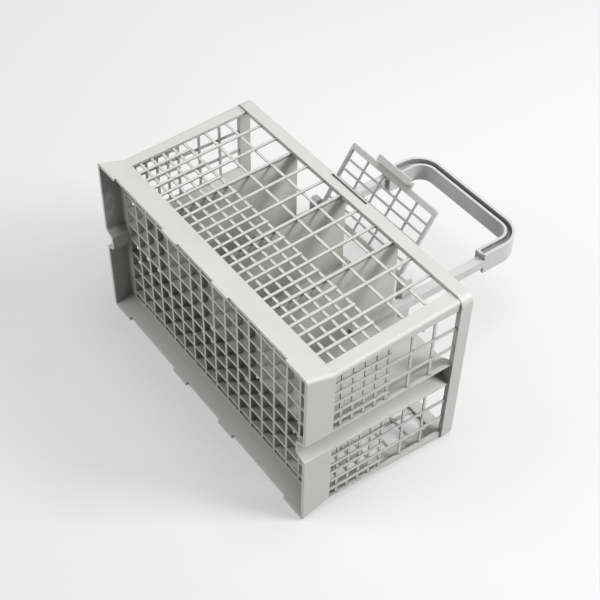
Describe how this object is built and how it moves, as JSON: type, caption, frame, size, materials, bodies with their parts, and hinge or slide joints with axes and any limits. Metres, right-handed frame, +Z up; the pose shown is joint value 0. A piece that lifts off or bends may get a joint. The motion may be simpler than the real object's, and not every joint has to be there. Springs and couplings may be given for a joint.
{
  "type": "dishwasher cutlery basket",
  "caption": "Rectangular plastic cutlery basket with mesh walls, a lattice base, inner dividers, an arched strap handle and hinged grid lids, lying on one long side.",
  "frame": {"origin": "on the table under the middle of the whole object, as it lies on one long side", "axes": "+X along the basket's length, +Y from its feet to its handle, which is up when the basket stands on its feet, +Z up from the table that it lies on"},
  "size_m": [0.24, 0.2384, 0.1358],
  "materials": {
    "tub_plastic": "fine satin moulded, light warm grey",
    "handle_plastic": "fine satin moulded, light warm grey",
    "lid_plastic": "fine satin moulded, light warm grey"
  },
  "bodies": {
    "tub": {"basket": "tub_plastic", "handle": "handle_plastic"},
    "upper_lid": {"upper_lid": "lid_plastic"},
    "lower_lid": {"lower_lid": "lid_plastic"}
  },
  "joints": [
    {"name": "upper_lid_hinge", "type": "hinge", "parent": "tub", "child": "upper_lid", "pos_m": [0, 0.01325, 0.0832], "axis": [-1, 0, 0], "range_deg": [-42, 62.5]},
    {"name": "lower_lid_hinge", "type": "hinge", "parent": "tub", "child": "lower_lid", "pos_m": [0, 0.01325, 0.0518], "axis": [1, 0, 0], "range_deg": [-45.5, 59]}
  ]
}
